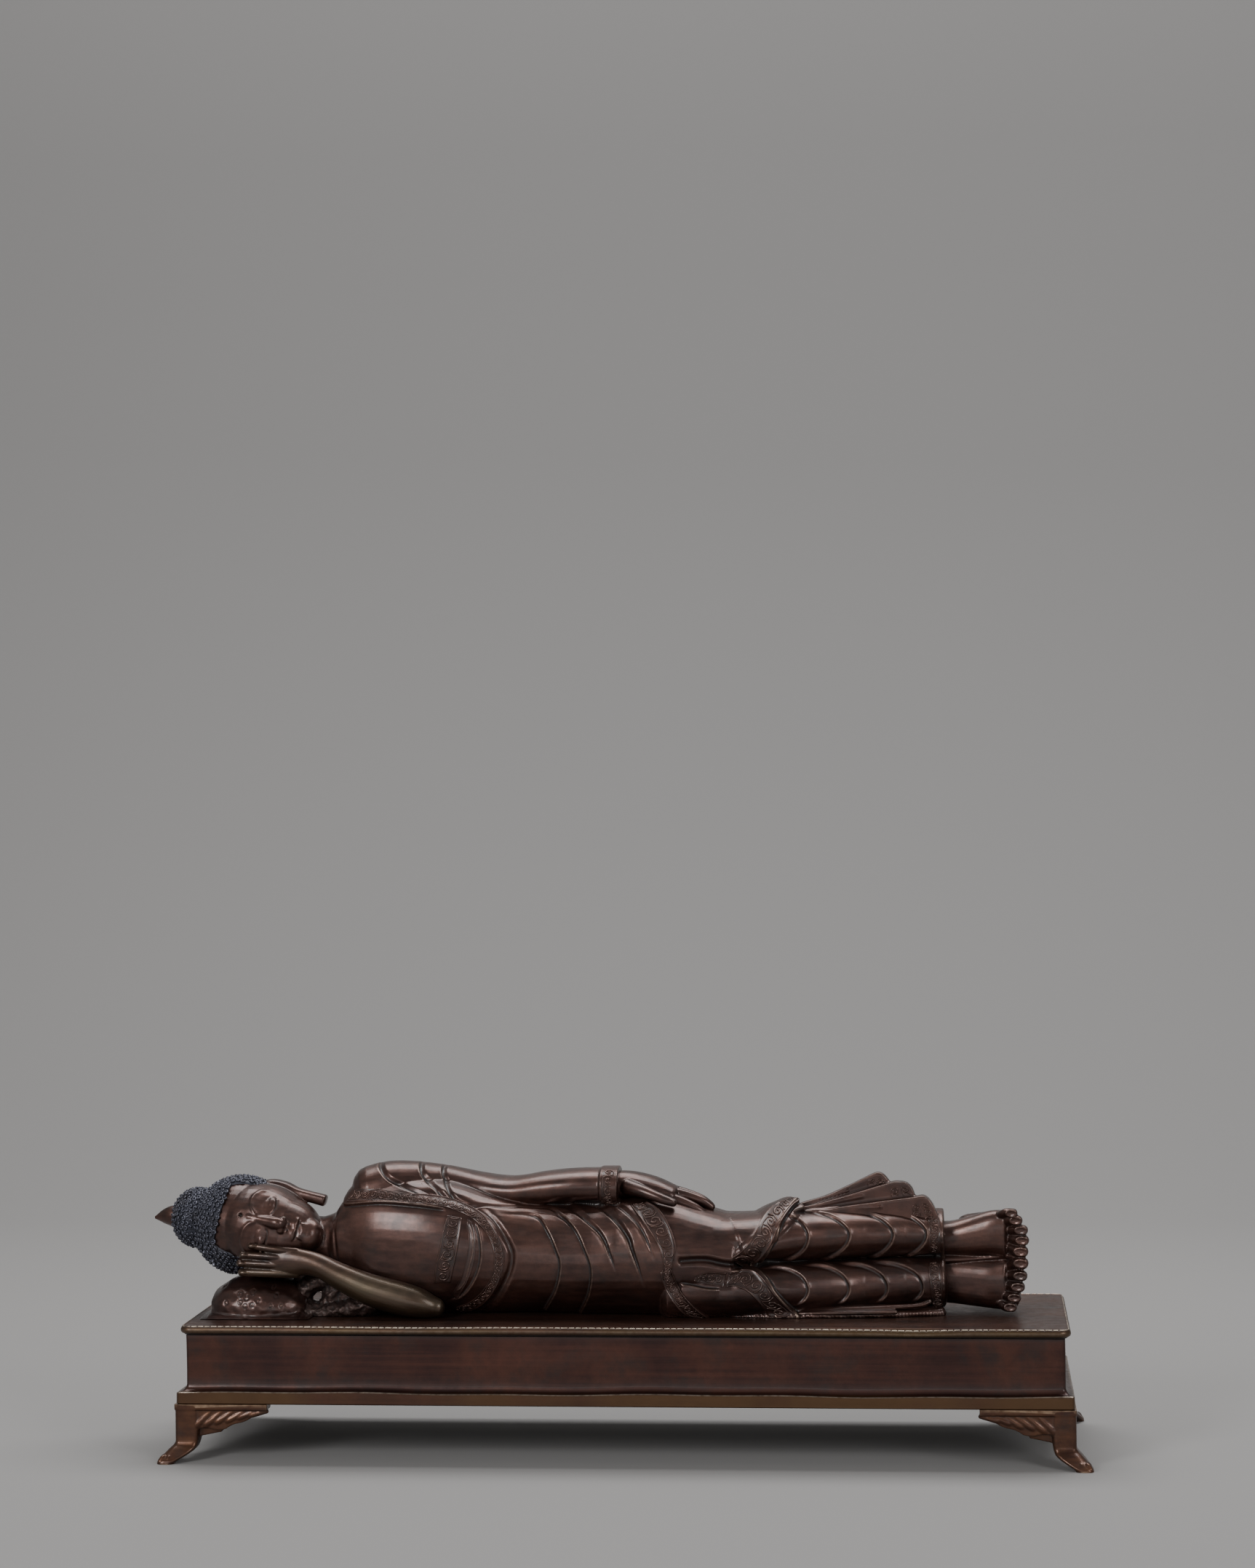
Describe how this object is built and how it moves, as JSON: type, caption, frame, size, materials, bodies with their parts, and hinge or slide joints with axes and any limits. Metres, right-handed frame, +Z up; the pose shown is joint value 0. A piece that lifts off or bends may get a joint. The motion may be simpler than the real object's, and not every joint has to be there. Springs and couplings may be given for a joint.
{
  "type": "reclining buddha statue",
  "caption": "Cast metal buddha in a pleated robe, reclining on the right side with the head on a pillow, on a long bed with leaf-bracket feet.",
  "frame": {"origin": "on the floor, at the middle of the whole object's bounding box", "axes": "+X along the bed towards the figure's feet, -Y towards the front that the figure faces, +Z up"},
  "size_m": [0.5156, 0.1466, 0.1543],
  "materials": {
    "figure_bronze": "dark red-brown oxidised copper alloy, satin, worn bright on the high places",
    "bed_bronze": "dark red-brown oxidised copper alloy, satin, brassy at the edges"
  },
  "bodies": {
    "root": {"reclining_figure": "figure_bronze", "deck": "bed_bronze", "bed_frame": "bed_bronze", "foot_front_left": "bed_bronze", "foot_front_right": "bed_bronze", "foot_back_left": "bed_bronze", "foot_back_right": "bed_bronze"}
  },
  "joints": []
}
